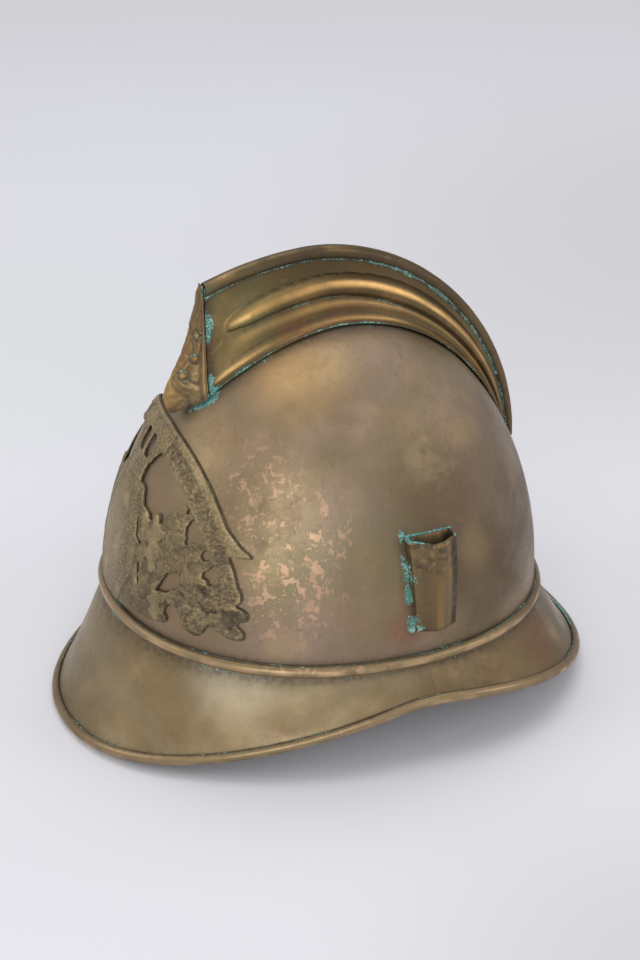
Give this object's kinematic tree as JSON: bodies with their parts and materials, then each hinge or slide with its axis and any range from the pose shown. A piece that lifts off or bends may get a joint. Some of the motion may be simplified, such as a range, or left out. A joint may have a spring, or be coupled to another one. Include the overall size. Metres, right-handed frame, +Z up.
{
  "type": "firefighter helmet",
  "caption": "Brass firefighter's helmet with a tall comb, a front badge plate, a plume socket, a flared visor and neck guard, a leather liner and hinged strap rings.",
  "frame": {"origin": "centre of the helmet's overall outline on the surface it stands on", "axes": "-Y to the visor in front, +Y to the neck guard, +X to the wearer's left where the plume socket is, +Z up"},
  "size_m": [0.2124, 0.2754, 0.2264],
  "materials": {
    "brass_dome": "aged brass sheet with a brown and pinkish tarnish",
    "brass_brim": "aged brass sheet, scratched",
    "brass_trim": "aged brass strip, rubbed on its crown",
    "brass_comb": "brass sheet, brighter than the dome",
    "brass_badge": "stamped brass plate with a dull olive tarnish",
    "brass_socket": "brass sheet with verdigris in its corners",
    "brass_fittings": "plain brass",
    "iron_wire": "plain wire",
    "leather_band": "dark worn leather",
    "leather_tongues": "brown worn leather",
    "leather_lace": "dark leather cord"
  },
  "bodies": {
    "helmet": {"dome": "brass_dome", "visor": "brass_brim", "neck_guard": "brass_brim", "base_bead": "brass_trim", "visor_binding": "brass_trim", "guard_binding": "brass_trim", "visor_edge_wire": "iron_wire", "guard_edge_wire": "iron_wire", "comb_left_flank": "brass_comb", "comb_right_flank": "brass_comb", "comb_crest_roll": "brass_comb", "comb_mask": "brass_comb", "comb_tabs": "brass_fittings", "badge": "brass_badge", "badge_pins": "brass_fittings", "plume_socket": "brass_socket", "sweatband": "leather_band", "liner_tongues": "leather_tongues", "liner_lace": "leather_lace", "liner_clips": "brass_fittings", "left_ring_bracket": "brass_fittings", "right_ring_bracket": "brass_fittings", "bracket_rivets": "brass_fittings"},
    "left_ring": {"left_strap_ring": "brass_fittings"},
    "right_ring": {"right_strap_ring": "brass_fittings"}
  },
  "joints": [
    {"name": "left_ring_swing", "type": "hinge", "parent": "helmet", "child": "left_ring", "pos_m": [0.0886, 0, 0.044], "axis": [0, 1, 0], "range_deg": [-25, 110]},
    {"name": "right_ring_swing", "type": "hinge", "parent": "helmet", "child": "right_ring", "pos_m": [-0.0886, 0, 0.044], "axis": [0, -1, 0], "range_deg": [-25, 110]}
  ]
}
